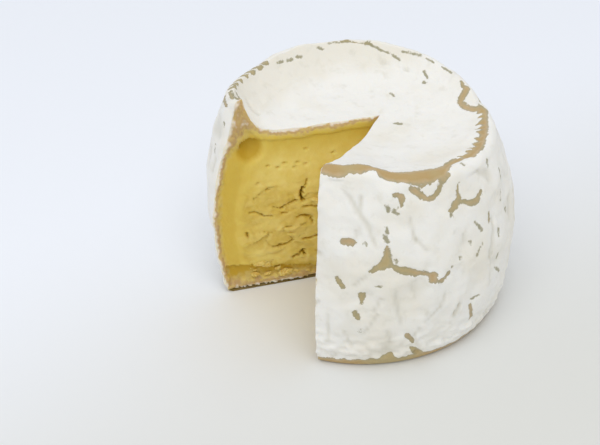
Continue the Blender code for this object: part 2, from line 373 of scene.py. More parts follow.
@dataclass(frozen=True)
class DrumForm:
    """The sagging, hand-moulded drum with its notch, as a block that turns round the notch's edge."""

    base_radius: float = 0.0400
    belly_radius: float = 0.0450
    belly_height: float = 0.0210
    rim_radius: float = 0.0378
    rim_height_mean: float = 0.0636
    dish_floor: float = 0.0543
    # Swings once and twice round the drum: each as (how far, angle where it is furthest)
    rim_height_swing: tuple = ((0.0033, 235.0), (0.0012, 103.0))
    rim_radius_swing: tuple = ((0.0019, 283.0), (0.0003, 8.0))
    belly_radius_swing: tuple = ((0.0020, 137.0), (0.0014, 171.5))
    base_radius_swing: tuple = ((0.0004, 16.0), (0.0003, 60.0))
    # Swells of the rim: their middle and spread in degrees, and how far up and out they go
    rim_swells: tuple = (
        (198.0, 20.0, -0.0019, 0.0), (239.0, 8.0, 0.0011, 0.0), (66.0, 24.0, -0.0013, -0.0013),
        (293.5, 5.0, -0.0026, 0.0), (315.0, 8.5, 0.0021, 0.0),
    )
    # Places where the wall is drawn in: middle and spread in degrees, height, its spread, and depth
    pinches: tuple = ((239.0, 7.0, 0.060, 0.022, 0.0058), (291.0, 11.0, 0.043, 0.015, 0.0023))
    rim_rounding: float = 0.0034
    crest_share: float = 0.925
    foot_rounding: float = 0.0015
    # How steeply the dish climbs to the rim: (angle, power)
    dish_climbs: tuple = (
        (20.0, 3.0), (75.0, 4.0), (130.0, 5.0), (180.0, 6.5), (237.0, 10.0), (299.0, 1.5), (335.0, 2.0),
    )
    notch_edge: tuple[float, float] = (-0.0027, 0.0095)
    notch_opens: float = 270.0
    notch_half_angle: float = 26.0
    axis: tuple[float, float] = (0.00185, -0.00385)

    @property
    def sweep(self) -> float:
        """The angle that the cheese fills about the notch's edge, in radians."""
        return 2.0 * math.pi - 2.0 * math.radians(self.notch_half_angle)

    @property
    def start(self) -> float:
        """The direction of the first cut face from the notch's edge, in radians."""
        return math.radians(self.notch_opens + self.notch_half_angle)

    @staticmethod
    def swung(mean: float, swing: tuple, degrees: Array) -> Array:
        """A size that swings once and twice round the drum about its mean."""
        (once, once_at), (twice, twice_at) = swing
        return (mean + once * np.cos(np.radians(degrees - once_at))
                + twice * np.cos(2.0 * np.radians(degrees - twice_at)))

    @staticmethod
    def bell(degrees: Array, middle: float, spread: float) -> Array:
        """A bell of height 1 round the drum's axis."""
        apart = (degrees - middle + 180.0) % 360.0 - 180.0
        return np.exp(-(apart / spread) ** 2)

    def rim_height(self, degrees: Array) -> Array:
        """Height of the rim's crest at each angle."""
        local = sum(row[2] * self.bell(degrees, row[0], row[1]) for row in self.rim_swells)
        return self.swung(self.rim_height_mean, self.rim_height_swing, degrees) + local

    def wall_radius(self, height: Array, degrees: Array) -> Array:
        """Radius of the wall, a parabola through base, belly and rim that is drawn in beside the cuts.

        Args:
            height: Heights above the base.
            degrees: Angles round the drum.

        Returns:
            The wall's distance from the drum's axis at each place.
        """
        local = sum(row[3] * self.bell(degrees, row[0], row[1]) for row in self.rim_swells)
        through = (
            (0.0, self.swung(self.base_radius, self.base_radius_swing, degrees)),
            (self.belly_height, self.swung(self.belly_radius, self.belly_radius_swing, degrees)),
            (self.rim_height(degrees), self.swung(self.rim_radius, self.rim_radius_swing, degrees) + local),
        )
        radius = np.zeros_like(degrees)
        for row, (level, size) in enumerate(through):
            term = size * np.ones_like(degrees)
            for other_row, (other, _) in enumerate(through):
                if other_row != row:
                    term = term * (height - other) / (level - other)
            radius = radius + term
        for middle, spread, level, band, depth in self.pinches:
            pinch = depth * self.bell(degrees, middle, spread)
            radius = radius - pinch * np.exp(-((height - level) / band) ** 2)
        low = np.clip(1.0 - height / self.foot_rounding, 0.0, 1.0)
        return radius - self.foot_rounding * (1.0 - np.sqrt(1.0 - low * low))

    def crest_radius(self, degrees: Array) -> Array:
        """Distance of the rim's crest from the drum's axis."""
        return self.crest_share * self.wall_radius(self.rim_height(degrees) - self.rim_rounding, degrees)

    def top_height(self, radius: Array, degrees: Array) -> Array:
        """Height of the dished top: a floor, a climb to the crest and a rounded shoulder.

        Args:
            radius: Distances from the drum's axis.
            degrees: Angles round the drum.

        Returns:
            The height at each place.
        """
        crest = self.rim_height(degrees)
        share = radius / self.wall_radius(crest - self.rim_rounding, degrees)
        turn = degrees % 360.0
        (first, low), (last, high) = self.dish_climbs[0], self.dish_climbs[-1]
        rows = [(last - 360.0, high), *self.dish_climbs, (first + 360.0, low)]
        power = np.full_like(turn, low)
        for (start, before), (end, after) in zip(rows, rows[1:]):
            inside = (turn >= start) & (turn <= end)
            power = np.where(inside, before + (after - before) * smooth_step(start, end, turn), power)
        climb = np.clip(share / self.crest_share, 0.0, 1.0) ** power
        over = np.clip((share - self.crest_share) / (1.0 - self.crest_share), 0.0, 1.0)
        shoulder = self.rim_rounding * (1.0 - np.sqrt(1.0 - over * over))
        return self.dish_floor + (crest - self.dish_floor) * climb - shoulder

    def polar(self, flat: Array) -> tuple[Array, Array]:
        """Distance from the drum's axis, and angle in degrees, of points given as (x, y)."""
        return np.hypot(flat[:, 0], flat[:, 1]), np.degrees(np.arctan2(flat[:, 1], flat[:, 0]))

    def reach(self, heading: Array, height: Array) -> Array:
        """Distance from the notch's inner edge out to the wall.

        Args:
            heading: Unit vectors in plan.
            height: The height to meet the wall at, for each.

        Returns:
            The distance along each.
        """
        distance = np.full(len(heading), self.belly_radius)
        for _ in range(12):
            radius, degrees = self.polar(np.array(self.notch_edge) + heading * distance[:, None])
            distance = distance + self.wall_radius(height, degrees) - radius
        return distance

    def places(self, along: Array, up: Array, direction: Array) -> Array:
        """Places on the drum of points of the block.

        Args:
            along: Share of the way from the notch's edge out to the wall.
            up: Share of the way from the base up to the top.
            direction: Directions from the notch's edge, in radians.

        Returns:
            The places, one a row.
        """
        edge = np.array(self.notch_edge)
        heading = np.stack([np.cos(direction), np.sin(direction)], axis=1)
        outer = self.reach(heading, np.full(len(along), self.rim_height_mean))
        _, degrees = self.polar(edge + heading * outer[:, None])
        edge_height = self.rim_height(degrees) - self.rim_rounding
        wall = self.reach(heading, up * edge_height)
        at_top = edge + heading * (along * self.reach(heading, edge_height))[:, None]
        roof = self.top_height(*self.polar(at_top))
        flat = edge + heading * (along * wall)[:, None]
        return np.column_stack([flat, up * roof])

    def on_rind(self, surface: Surface, degrees: float, millimetres: float) -> Array:
        """A point on the rind.

        Args:
            surface: What the distance is measured along.
            degrees: Its angle round the drum.
            millimetres: Its height, its distance from the crest or its distance from the axis.

        Returns:
            The point.
        """
        angle, level = np.array([float(degrees)]), millimetres * MM
        if surface is Surface.WALL:
            radius, height = self.wall_radius(np.array([level]), angle)[0], level
        elif surface is Surface.TOP:
            radius, height = level, self.top_height(np.array([level]), angle)[0]
        else:
            radius = self.crest_radius(angle)[0] + min(level, 0.8 * level)
            height = self.top_height(np.array([radius]), angle)[0] - max(level - 0.0025, 0.0)
        turn = math.radians(degrees)
        return np.array([radius * math.cos(turn), radius * math.sin(turn), height])


@dataclass
class RindRelief:
    """The rind's marks, lumps and folds, as fields on its points."""

    form: DrumForm
    lump_height: float = 0.0005
    lump_spacing: float = 0.0110
    fold_height: float = 0.00080
    fold_spacing: float = 0.0062
    valley_depth: float = 0.00060
    valley_spacing: float = 0.0095
    wrinkle_height: float = 0.00018
    wrinkle_spacing: float = 0.0021
    ragged_height: float = 0.0013
    ragged_spacing: float = 0.0021
    cloud_spacing: float = 0.0130
    cut_angles: tuple[float, float] = (244.0, 296.0)
    # Where the rim's band is combed out into teeth, from and to which angle, and how long they are
    comb: tuple[float, float, float] = (7.0, 52.0, 2.4)
    crease_depth: float = 0.00048
    bare_depth: float = 0.00022
    dish_swell: float = 0.0005
    dish_spacing: float = 0.0160
    # Places where the felt is more or less aged: what on, where, how wide in mm, and how much
    stale: tuple = (
        (Surface.WALL, 328.0, 37.0, 9.0, 0.55), (Surface.WALL, 318.0, 22.0, 8.0, 0.40),
        (Surface.WALL, 310.3, 45.5, 5.0, -0.9), (Surface.WALL, 2.0, 13.0, 6.0, -0.6),
        (Surface.RIM, 205.0, 1.0, 16.0, 0.6), (Surface.TOP, 190.0, 20.0, 16.0, -0.5),
    )
    middle_radius: float = 0.030
    hidden_marks: int = 46
    hidden_angles: tuple[float, float] = (34.0, 222.0)
    tan_share: float = 0.34
    seed: int = 11

    def hidden_side(self) -> list[Mark]:
        """Marks of the same kinds on the side that is turned away, drawn at random from the seed.

        Returns:
            The marks, on the wall and then along the rim.
        """
        draw = random.Random(self.seed)
        made = []
        for _ in range(self.hidden_marks):
            angle, level = draw.uniform(*self.hidden_angles), draw.uniform(5.0, 55.0)
            tan = draw.random() < self.tan_share
            steps = draw.choice((2, 3, 4)) if tan else 2
            path = []
            for _ in range(steps):
                path.append((angle, level, draw.uniform(0.4, 1.1) if tan else draw.uniform(0.25, 0.45)))
                angle += draw.uniform(-3.2, 3.2) if tan else draw.uniform(-1.0, 1.0)
                level += draw.uniform(-2.4, 1.0) if tan else draw.uniform(-2.2, -0.8)
            made.append(Mark(Surface.WALL, Tint.TAN if tan else Tint.OLIVE, tuple(path)))
        for angle in np.arange(62.0, 226.0, 9.0):
            low, turn, rise = draw.uniform(2.2, 4.2), draw.uniform(3.0, 7.0), draw.uniform(-0.8, 0.8)
            thin, thick = draw.uniform(0.4, 1.0), draw.uniform(0.4, 1.0)
            path = ((angle, low, thin), (angle + turn, low + rise, thick))
            made.append(Mark(Surface.RIM, Tint.TAN, path))
        return made

    def depth_in(self, marks: list[Mark], points: Array) -> Array:
        """How deep points lie inside marks.

        Args:
            marks: The marks.
            points: The points, one a row.

        Returns:
            Millimetres inside the nearest mark's outline, negative outside it.
        """
        deepest = np.full(len(points), OUTSIDE)
        for mark in marks:
            ends = [(self.form.on_rind(mark.surface, *place), width) for *place, width in mark.path]
            for (low, thin), (high, thick) in zip(ends, ends[1:]):
                span = high - low
                share = np.clip((points - low) @ span / max(span @ span, 1e-12), 0.0, 1.0)
                apart = np.linalg.norm(points - (low + share[:, None] * span), axis=1) / MM
                deepest = np.maximum(deepest, thin + (thick - thin) * share - apart)
        return deepest

    def fields(self, points: Array) -> dict[str, Array]:
        """Reads every mark at the rind's points.

        Args:
            points: The points, one a row.

        Returns:
            Millimetres inside tan patches and olive spots, how creased the rind is and how yellowed with
            age, and painted shade on the dish's far slope.
        """
        radius, degrees = self.form.polar(points[:, :2])
        out = radius - self.form.crest_radius(degrees)
        down = self.form.rim_height(degrees) - points[:, 2]
        off_middle = radius > self.middle_radius
        # Washed rind: the rim's band, combed out towards the dish on the right, the foot's, the marks
        across = np.sign(out) * np.hypot(out, down) / MM
        wander = 0.45 * rough(points / 0.0024) + 0.3 * rough(points / 0.0011 + 9.0)
        shake = rough(np.column_stack([degrees * 0.13, across * 0.3, radius]))
        teeth = np.abs(np.sin(np.radians(degrees * 38.0 + 70.0 * shake)))
        first, last, longest = self.comb
        teeth = np.where((degrees > first) & (degrees < last), longest * teeth - 0.7, 0.0)
        inner = read_round(RIM_BAND, 1, degrees) + teeth
        band = np.minimum(across - inner, read_round(RIM_BAND, 2, degrees) - across)
        foot = np.where(off_middle, read_round(FOOT_BAND, 1, degrees) - points[:, 2] / MM, OUTSIDE)
        marks = [*WALL_MARKS, *RIM_MARKS, *self.hidden_side()]
        tan, olive, crease = (self.depth_in([m for m in marks if m.tint is tint], points) for tint in Tint)
        # Ageing yellows the felt in large clouds, and the dish's far slope is painted ivory as shade
        back_slope_shade = self.form.bell(degrees, 155.0, 45.0) * smooth_step(0.024, 0.034, radius) * (out < 0.0)
        aged_and_slope_shade = 0.45 + 0.9 * rough(points / self.cloud_spacing + 31.0)
        aged_and_slope_shade = aged_and_slope_shade + 0.35 * rough(points / 0.004 + 3.0) + back_slope_shade
        for surface, angle, level, reach, amount in self.stale:
            apart = np.linalg.norm(points - self.form.on_rind(surface, angle, level), axis=1) / (reach * MM)
            aged_and_slope_shade = aged_and_slope_shade + amount * np.exp(-apart ** 2)
        # Valleys run mostly up the wall, break off here and there, and stop short of the rim
        veins = np.abs(rough(points * np.array([1.0, 1.0, 0.45]) / self.valley_spacing + 3.0))
        valley = 1.0 - smooth_step(0.0, 0.15, veins)
        valley = valley * smooth_step(0.02, 0.38, rough(points / 0.0068 + 71.0))
        valley = valley * smooth_step(-0.004, 0.004, out + 0.02 * smooth_step(0.0, 0.01, down)) * off_middle
        return {
            "tan": np.maximum(np.maximum(tan, band + 0.4 * wander), foot + 0.6 * wander),
            "olive": olive,
            "crease": smooth_step(-0.6, 0.5, crease),
            # The valley field also paints grey shade on the dish's far slope
            "valley": np.maximum(valley, 0.30 * back_slope_shade),
            "aged_and_slope_shade": np.clip(aged_and_slope_shade, 0.0, 1.0),
        }

    def swell(self, points: Array, fields: dict[str, Array]) -> Array:
        """How far the rind stands out at each point.

        Args:
            points: The points, one a row.
            fields: What fields() gave for them.

        Returns:
            The distances outwards.
        """
        height = points[:, 2]
        radius, degrees = self.form.polar(points[:, :2])
        below_rim = smooth_step(0.0, 0.004, self.form.rim_height(degrees) - height)
        tall = np.array([1.0, 1.0, 0.5])
        lump = sampled(lambda p: noise.fractal(p, 0.8, 2.1, 3), points / self.lump_spacing)
        fold = self.fold_height * rough(points * tall / self.fold_spacing + 5.0)
        ridge = 1.0 - 2.0 * np.abs(rough(points * tall / self.wrinkle_spacing + 17.0))
        dish = self.dish_swell * rough(points / self.dish_spacing + 47.0) * (1.0 - below_rim)
        calm = (0.35 + 0.65 * below_rim) * np.where(radius < self.middle_radius, 0.35, 1.0)
        extra = (fold + self.wrinkle_height * ridge) * calm
        extra = extra - self.valley_depth * fields["valley"] * below_rim
        extra = extra + dish * smooth_step(0.0, 0.010, height)
        # Torn and ragged beside the cuts and low on the wall, and a little sunk where the felt is off
        apart = np.min([np.abs((degrees - cut + 180.0) % 360.0 - 180.0) for cut in self.cut_angles], axis=0)
        torn = np.exp(-(apart / 2.2) ** 2) + 1.3 * (1.0 - smooth_step(0.001, 0.018, height))
        torn = torn * smooth_step(0.0, 0.002, height) * (radius > self.middle_radius)
        extra = extra + self.ragged_height * torn * rough(points / self.ragged_spacing + 23.0)
        shown = self.lump_height * lump + extra - self.crease_depth * fields["crease"]
        shown = shown * smooth_step(0.0, 0.006, height)
        bare = self.bare_depth * smooth_step(-0.35, 0.35, np.maximum(fields["tan"], fields["olive"]))
        return shown - bare * smooth_step(0.0, 0.002, height)


@dataclass
class CutRelief:
    """The two cut faces: rind line, creamy ripened zone and chalky core with its cracks.

    Places on a face are (t, z): millimetres from the notch's inner edge, and above the base.
    """

    top_zone: float = 3.1
    wall_zone: float = 7.5
    base_zone: tuple = ((0.0, 3.0), (18.0, 4.6), (38.0, 8.1), (50.0, 10.0))
    overhang: float = 0.00055
    base_sunk: float = 0.0010
    wall_sunk: float = 0.0004
    foot_undercut: float = 0.0017
    other_face: float = 3.0
    # Width and height in mm, and how far the curds stand out and tilt
    curds: tuple = ((8.0, 4.0, 0.00046, 0.00034), (3.1, 1.6, 0.00010, 0.00010))
    crag_height: float = 0.00018
    split_depth: float = 0.0010
    # Middle and half sizes as (t, z), and depth
    pocket: tuple = ((39.1, 50.5), (3.2, 2.4), 0.0023)
    # Each a path of (t, z), its half-width in mm and its depth
    cracks: tuple = (
        (((22.0, 36.2), (22.3, 33.9)), 0.26, 0.0009),
        (((23.4, 33.2), (23.9, 30.6), (23.2, 28.9)), 0.40, 0.0017),
        (((39.6, 27.6), (37.4, 27.0), (35.2, 25.4), (32.6, 25.2)), 0.22, 0.0010),
        (((30.4, 27.2), (27.3, 28.4), (24.9, 29.4)), 0.20, 0.0010),
        (((24.9, 22.9), (23.3, 23.3), (21.1, 22.9), (20.2, 20.5)), 0.27, 0.0011),
        (((29.8, 25.3), (28.0, 25.3)), 0.22, 0.0010),
        (((23.3, 26.6), (18.7, 25.6), (12.0, 26.4)), 0.25, 0.0011),
        (((32.4, 13.8), (30.5, 13.8), (27.4, 14.3), (26.1, 15.1)), 0.26, 0.0013),
        (((26.3, 8.7), (24.3, 9.2), (23.0, 10.9), (22.6, 8.6)), 0.36, 0.0013),
        (((23.3, 14.9), (21.1, 14.9), (14.0, 16.0)), 0.24, 0.0011),
        (((40.6, 20.6), (40.3, 19.0)), 0.30, 0.0011),
        (((26.1, 18.1), (28.6, 18.2), (29.5, 20.2), (26.7, 20.4)), 0.22, 0.0006),
        (((16.0, 34.0), (11.0, 33.2), (8.0, 34.1)), 0.22, 0.0010),
        (((17.0, 9.5), (12.0, 10.4), (7.5, 9.8)), 0.28, 0.0012),
    )
    # Middles of small holes, as (t, z)
    pits: tuple = (
        (22.4, 46.8), (28.8, 43.1), (24.9, 42.7), (22.4, 41.6), (33.9, 43.0), (30.9, 41.8), (25.8, 41.2),
        (37.0, 37.4), (14.0, 44.0), (17.5, 39.0), (10.0, 40.5),
    )
    pit_radius: float = 0.32
    pit_depth: float = 0.0006

    @staticmethod
    def along(path: tuple, t: Array, z: Array) -> Array:
        """Distance of places on a face from a path.

        Args:
            path: The path's points, as (t, z) in mm.
            t: The places' distances from the notch's inner edge, in mm.
            z: Their heights, in mm.

        Returns:
            The distances, in mm.
        """
        nearest = np.full(len(t), np.inf)
        for (t_low, z_low), (t_high, z_high) in zip(path, path[1:]):
            span_t, span_z = t_high - t_low, z_high - z_low
            share = ((t - t_low) * span_t + (z - z_low) * span_z) / (span_t ** 2 + span_z ** 2)
            share = np.clip(share, 0.0, 1.0)
            nearest = np.minimum(nearest, np.hypot(t - t_low - share * span_t, z - z_low - share * span_z))
        return nearest

    def read(
        self, t: Array, z: Array, roof: Array, wall: Array, face: float
    ) -> tuple[Array, dict[str, Array]]:
        """Reads a cut face. Face 1 has the same patterns as face 0, other_face mm off.

        Args:
            t: Distances from the notch's inner edge, in mm.
            z: Heights, in mm.
            roof: The top's height at each t, in mm.
            wall: The distance at which the wall is met at each z, in mm.
            face: 0 or 1, which keeps the patterns of the two faces apart.

        Returns:
            How far the face stands out of its plane, in metres, and its fields.
        """
        flat = np.column_stack([t, z, np.full(len(t), 40.0 * face)])
        from_top, from_wall = roof - z, wall - t
        # The rind in section is where skin is under 1, and the zones follow its lines further in
        wave = rough(flat * [0.22, 0.22, 1.0]) + 0.5 * rough(flat * [0.9, 0.9, 1.0] + 7.0)
        fine = rough(flat * [1.7, 1.7, 1.0] + 3.0)
        skin_top = (1.35 + 0.5 * wave + 0.45 * fine) * (0.70 + 0.30 * smooth_step(3.0, 15.0, t))
        skin_wall = 1.6 + 0.3 * wave + 1.9 * smooth_step(46.0, 55.5, z)
        skin_base = 2.6 + 0.5 * wave + 0.5 * fine + 0.04 * np.maximum(t - 20.0, 0.0)
        skin = np.minimum(np.minimum(from_top / skin_top, from_wall / skin_wall), z / skin_base)
        corner = np.where(t > 36.5, 1.0 + (56.0 + 0.7 * wave + 0.4 * fine - z) / 2.0, 9.0)
        skin = np.minimum(skin, np.maximum(corner, 0.6))
        base_zone = np.interp(t, *zip(*self.base_zone))
        if face:
            base_zone = base_zone * 0.8 + 1.0
        under_top = from_top - (self.top_zone + 0.3 * wave + 0.35 * fine)
        under_wall = from_wall - (self.wall_zone + 0.8 * wave)
        over_base = z - (base_zone + 1.1 * wave + 0.8 * fine)
        core, ripe = (
            smooth_step(*top, under_top) * smooth_step(*side, under_wall) * smooth_step(*low, over_base)
            for top, side, low in (
                ((-0.2, 0.2), (-1.0, 2.4), (-0.2, 0.2)),
                ((0.0, 9.0), (-3.5, 9.0), (-0.5, 3.0)),
            )
        )

        # Curds: cells that stand out and tilt by chance, loose low down, with splits between the large
        warp = np.column_stack([rough(flat * 0.25 + 11.0), rough(flat * 0.25 + 23.0), np.zeros(len(t))])
        loose = 1.0 - smooth_step(28.0, 42.0, z + 5.0 * wave)
        loose = loose * (0.35 + 0.65 * smooth_step(-0.3, 0.3, rough(flat * [0.12, 0.16, 1.0] + 41.0) + 0.2))
        curd = np.zeros(len(t))
        split = np.full(len(t), OUTSIDE)
        for width, height, lift, tilt in self.curds:
            cells = (flat + 1.8 * warp) / [width, height, 1.0]
            found = [noise.voronoi(place) for place in cells.tolist()]
            middles = np.array([tuple(nearest[0]) for _, nearest in found])
            gap = np.array([distances[1] - distances[0] for distances, _ in found])
            away = cells - middles
            curd += lift * rough(middles * 3.7) * 1.4
            lean = rough(middles * 2.9 + 5.0) * away[:, 0] + rough(middles * 2.3 + 9.0) * away[:, 1]
            curd += tilt * lean * 2.6
            if width > 4.0:
                wide = rough(flat * [0.16, 0.2, 1.0] + 57.0) + 0.05
                split = np.where(wide > 0.15, 0.16 * np.clip(wide, 0.0, 0.6) - gap * 3.2 - 0.05, OUTSIDE)

        # The rind overhangs the sunken zones, and the core is rough between its splits
        relief = self.overhang * (1.0 - smooth_step(-0.18, 0.18, under_top)) * smooth_step(0.2, 0.9, skin)
        relief -= self.base_sunk * (1.0 - smooth_step(-0.3, 0.15, over_base)) * smooth_step(0.6, 1.3, skin)
        relief -= self.wall_sunk * (1.0 - smooth_step(-1.5, 1.0, under_wall)) * smooth_step(0.7, 1.4, skin)
        relief += core * loose * curd
        relief += (1.0 - smooth_step(1.0, 1.8, skin)) * (0.00025 * fine + 0.00045 * wave)
        crag = sampled(lambda p: noise.fractal(p, 0.9, 2.0, 3), flat * [0.45, 0.6, 1.0])
        relief += core * (0.12 + 0.88 * loose) * self.crag_height * crag
        relief += 0.00005 * wave + 0.00010 * np.clip(loose - 0.2, 0.0, 1.0) * fine
        # The crevice field marks where brown shade is painted: splits, the foot's gap, cracks and pits
        crevice = np.where((core > 0.5) & (loose > 0.4), split, OUTSIDE)
        relief -= self.split_depth * smooth_step(-0.15, 0.15, crevice)
        # The gap under the foot, cracks, pits and the pocket
        relief -= self.foot_undercut * (1.0 - smooth_step(0.7, 1.0, z + 0.3 * fine + 0.2 * wave))
        crevice = np.maximum(crevice, 0.85 - z - 0.3 * fine - 0.2 * wave)
        shift = self.other_face * face
        for path, half_width, depth in self.cracks:
            apart = self.along(path, t + shift + 0.4 * fine, z + shift + 0.45 * wave)
            inside = half_width * (1.0 + 0.5 * fine) - apart
            relief -= depth * smooth_step(-0.25, 0.25, inside)
            crevice = np.maximum(crevice, inside + min(depth / 0.0024 - 1.0, 0.0) * 0.34 - 0.04)
        for t_pit, z_pit in self.pits:
            inside = self.pit_radius - np.hypot((t + shift - t_pit) * 0.55, z - z_pit + 0.2 * wave)
            relief -= self.pit_depth * smooth_step(-0.25, 0.25, inside)
            crevice = np.maximum(crevice, inside - 0.22)
        (t_mid, z_mid), (half_t, half_z), depth = self.pocket
        across, above = (t + 2.0 * shift - t_mid) / half_t, (z + 1.5 * shift - z_mid) / half_z
        depth = depth * (1.0 - 0.2 * shift)
        arch = np.hypot(across, np.where(above > 0.0, above, 0.55 * above)) + 0.08 * fine + 0.08 * wave
        sharp = smooth_step(-0.4, 0.1, above) * smooth_step(-0.9, -0.2, across)
        hollow = 1.0 - sharp * smooth_step(0.88, 1.04, arch) - (1.0 - sharp) * smooth_step(0.05, 1.6, arch)
        relief -= depth * hollow * smooth_step(0.8, 1.5, skin)
        fade = smooth_step(0.0, 4.0, t) * smooth_step(-0.05, 0.35, skin)
        fields = {
            "skin": skin,
            "ripe": ripe,
            "crevice": crevice,
            "hollow": hollow * smooth_step(-1.2, 0.8, above),
            "proud": relief / MM,
            "loose": core * loose,
        }
        return relief * fade, fields


@dataclass(frozen=True)
class BloomyRind:
    """Penicillium mould on a washed rind: white felt, brushed by hand, with tan rind where it wore off.

    The felt scatters light like snow, so it has no gloss and soft shadows. Washed rind is denser,
    smoother and tan. Real mould threads are under 0.05 mm, and are drawn at felt_grain_mm to show.
    """

    felt_white: str = "#F4F2EC"
    felt_ivory: str = "#EDE8DB"
    felt_grey: str = "#D9D5C7"
    washed_tan: str = "#BCA06E"
    washed_light: str = "#CBB491"
    washed_olive: str = "#BAAB7E"
    thin_olive: str = "#A09A7C"
    felt_grain_mm: float = 0.45
    edge_grain_mm: float = 0.9
    blotch_mm: float = 3.0
    bump_height: float = 0.00022

    def material(self) -> bpy.types.Material:
        """Builds the rind's material from its fields and from noise at the felt's real scale.

        Returns:
            The material.
        """
        material, place, field = start_material(
            "bloomy_mould_rind", "tan", "olive", "crease", "valley", "aged_and_slope_shade")
        tree = material.node_tree
        grain, blotch, fuzz = (
            add_node(tree, "TexNoise", {"Scale": 1000.0 / size, "Detail": detail, "Roughness": tooth},
                     {"Vector": place})
            for size, detail, tooth in (
                (self.edge_grain_mm, 3.0, 0.6), (self.blotch_mm, 4.0, 0.5), (self.felt_grain_mm, 4.0, 0.65))
        )
        # The edge of every mark wanders with the grain, and that of washed rind is ragged as well
        wander = add_node(tree, "Math", {**SCALED_SUM, 1: 1.5, 2: -0.65}, {0: grain})
        ragged = add_node(tree, "Math", {**SCALED_SUM, 1: 1.2, 2: -0.6}, {0: blotch})
        masks = {}
        for name, soft, offsets in (("tan", 0.12, (wander, ragged)), ("olive", 0.22, (wander,))):
            edge = field[name]
            for offset in offsets:
                edge = add_node(tree, "Math", SUM, {0: edge, 1: offset})
            masks[name] = add_node(tree, "MapRange", {**SOFT, "From Min": -soft, "From Max": soft},
                                   {"Value": edge})
        # Felt yellows as it ages and is greyer in random blotches; creases and valleys are painted
        # grey as shade, and the dish's far slope is painted ivory and grey as shade
        aged_and_slope_shade = add_node(tree, "MapRange", {"From Min": 0.25, "From Max": 1.0, "To Max": 0.75},
                        {"Value": field["aged_and_slope_shade"]})
        felt = add_node(tree, "Mix", {**MIX, 6: linear(self.felt_white), 7: linear(self.felt_ivory)},
                        {0: aged_and_slope_shade}, 2)
        speck = add_node(tree, "MapRange", {"From Min": 0.58, "From Max": 0.80, "To Max": 0.45},
                         {"Value": blotch})
        specks_and_fold_shade = add_node(tree, "Math", {**SCALED_SUM, 1: 0.6}, {0: field["crease"], 2: speck})
        specks_and_fold_shade = add_node(tree, "Math", {**SCALED_SUM, 1: 0.6, "use_clamp": True},
                          {0: field["valley"], 2: specks_and_fold_shade})
        felt = add_node(tree, "Mix", {**MIX, 7: linear(self.felt_grey)}, {0: specks_and_fold_shade, 6: felt}, 2)
        # Washed rind is tan well inside a patch and olive where it is old; along the edge it is olive,
        # its own tone there darkened as painted shade where the felt steps down into the patch
        inward = add_node(tree, "Math", {**SCALED_SUM, 1: 1.4}, {0: blotch, 2: field["tan"]})
        bare = add_node(tree, "MapRange", {"From Min": 0.9, "From Max": 2.0}, {"Value": inward})
        washed = add_node(tree, "Mix", {**MIX, 6: linear(self.washed_light), 7: linear(self.washed_tan)},
                          {0: bare}, 2)
        greyed = add_node(tree, "MapRange", {"From Min": 0.35, "From Max": 0.85, "To Max": 0.75},
                          {"Value": field["aged_and_slope_shade"]})
        outward = add_node(tree, "Math", {**SCALED_SUM, 1: 1.4}, {0: grain, 2: field["tan"]})
        olive_edge_and_shade = add_node(
            tree, "MapRange", {"From Min": 0.4, "From Max": 1.45, "To Min": 0.95, "To Max": 0.0},
            {"Value": outward})
        for tint, share in ((self.washed_olive, greyed), (self.thin_olive, olive_edge_and_shade)):
            washed = add_node(tree, "Mix", {**MIX, 7: linear(tint)}, {0: share, 6: washed}, 2)
        colour = add_node(tree, "Mix", MIX, {0: masks["tan"], 6: felt, 7: washed}, 2)
        thin = add_node(tree, "Math", {**PRODUCT, 1: 0.9}, {0: masks["olive"]})
        colour = add_node(tree, "Mix", {**MIX, 7: linear(self.thin_olive)}, {0: thin, 6: colour}, 2)
        # The felt's nap stands above the washed rind
        coat = add_node(tree, "Math", {**SCALED_SUM, 1: -0.8}, {0: masks["tan"], 2: fuzz})
        nap = add_node(tree, "Bump", {"Strength": 0.5, "Distance": self.bump_height}, {"Height": coat})
        finish_material(material, {
            "Roughness": 0.85, "IOR": 1.45, "Specular IOR Level": 0.25, "Sheen Weight": 0.12,
            "Sheen Roughness": 0.6, "Subsurface Weight": 0.25, "Subsurface Radius": (1.0, 0.9, 0.75),
            "Subsurface Scale": 0.0014,
        }, base_color=colour, normal=nap)
        return material


